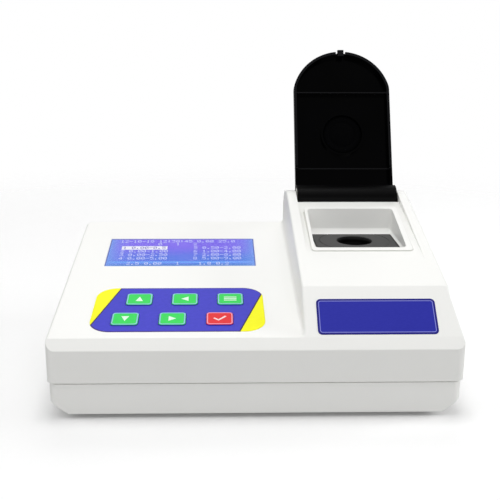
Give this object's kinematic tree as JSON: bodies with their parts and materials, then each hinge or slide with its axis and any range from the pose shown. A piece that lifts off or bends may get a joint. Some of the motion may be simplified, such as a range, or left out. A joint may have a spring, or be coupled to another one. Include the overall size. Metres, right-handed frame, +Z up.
{
  "type": "bench ion meter",
  "caption": "Bench water-test photometer with a sloping display and key panel, a raised tower with a round sample bore, and a D-shaped flip lid on a hinge rod.",
  "frame": {"origin": "on the table, under the middle of the overall box with the lid open", "axes": "+Z up, +X to the user's right along the case, +Y away from the user"},
  "size_m": [0.266, 0.2352, 0.2207],
  "materials": {
    "case_white": "moulded, satin",
    "lid_black": "glossy",
    "foot_rubber": "matt",
    "screw_steel": "zinc plated",
    "rod_steel": "ground",
    "window_clear": "clear",
    "display_metal": "black frame",
    "display_blue": "lit blue display",
    "board_green": "solder mask",
    "chip_black": "moulded",
    "overlay_blue": "printed film, blue and yellow",
    "key_green": "green",
    "key_red": "red",
    "plate_blue": "printed film, blue with a pale line",
    "deck_grey": "dark grey",
    "holder_black": "black",
    "lens_clear": "clear",
    "filter_blue": "coloured",
    "lamp_clear": "clear dome",
    "socket_black": "black",
    "rocker_black": "black",
    "port_pale": "pale",
    "blade_brass": "plated",
    "bush_white": "self-lubricating",
    "pad_rubber": "soft",
    "module_grey": "grey case"
  },
  "bodies": {
    "root": {"base_tray": "case_white", "top_cover": "case_white", "rubber_feet": "foot_rubber", "case_screws": "screw_steel", "display_window": "window_clear", "display_frame": "display_metal", "display_glass": "display_blue", "display_board": "board_green", "keypad_overlay": "overlay_blue", "key_board": "board_green", "key_switches": "chip_black", "name_plate": "plate_blue", "deck_plate": "deck_grey", "cell_holder": "holder_black", "holder_screws": "screw_steel", "lamp_board": "board_green", "sensor_board": "board_green", "lamp_lens": "lens_clear", "light_filter": "filter_blue", "light_sensor": "chip_black", "lamp": "lamp_clear", "main_board": "board_green", "board_chips": "chip_black", "board_screws": "screw_steel", "power_module": "module_grey", "module_screws": "screw_steel", "power_inlet": "socket_black", "inlet_blades": "blade_brass", "power_switch_frame": "socket_black", "data_port": "port_pale", "hinge_rod": "rod_steel", "rod_plug": "case_white"},
    "lid": {"lid": "lid_black", "lid_pad": "pad_rubber", "lid_bushes": "bush_white"},
    "key_up": {"key_up": "key_green"},
    "key_left": {"key_left": "key_green"},
    "key_select": {"key_select": "key_green"},
    "key_down": {"key_down": "key_green"},
    "key_right": {"key_right": "key_green"},
    "key_confirm": {"key_confirm": "key_red"},
    "power_rocker": {"power_rocker": "rocker_black"}
  },
  "joints": [
    {"name": "lid_hinge", "type": "hinge", "parent": "root", "child": "lid", "pos_m": [0.0784, 0.05408, 0.106], "axis": [1, 0, 0], "range_deg": [0, 127.1]},
    {"name": "key_up_press", "type": "slide", "parent": "root", "child": "key_up", "axis": [0, 0.1461, -0.9893], "range_m": [0, 0.0005], "stiffness_N_per_m": 1000},
    {"name": "key_left_press", "type": "slide", "parent": "root", "child": "key_left", "axis": [0, 0.1461, -0.9893], "range_m": [0, 0.0005], "stiffness_N_per_m": 1000},
    {"name": "key_select_press", "type": "slide", "parent": "root", "child": "key_select", "axis": [0, 0.1461, -0.9893], "range_m": [0, 0.0005], "stiffness_N_per_m": 1000},
    {"name": "key_down_press", "type": "slide", "parent": "root", "child": "key_down", "axis": [0, 0.1461, -0.9893], "range_m": [0, 0.0005], "stiffness_N_per_m": 1000},
    {"name": "key_right_press", "type": "slide", "parent": "root", "child": "key_right", "axis": [0, 0.1461, -0.9893], "range_m": [0, 0.0005], "stiffness_N_per_m": 1000},
    {"name": "key_confirm_press", "type": "slide", "parent": "root", "child": "key_confirm", "axis": [0, 0.1461, -0.9893], "range_m": [0, 0.0005], "stiffness_N_per_m": 1000},
    {"name": "power_rocker_tip", "type": "hinge", "parent": "root", "child": "power_rocker", "pos_m": [0.058, 0.08218, 0.054], "axis": [1, 0, 0], "range_deg": [0, 16]}
  ]
}
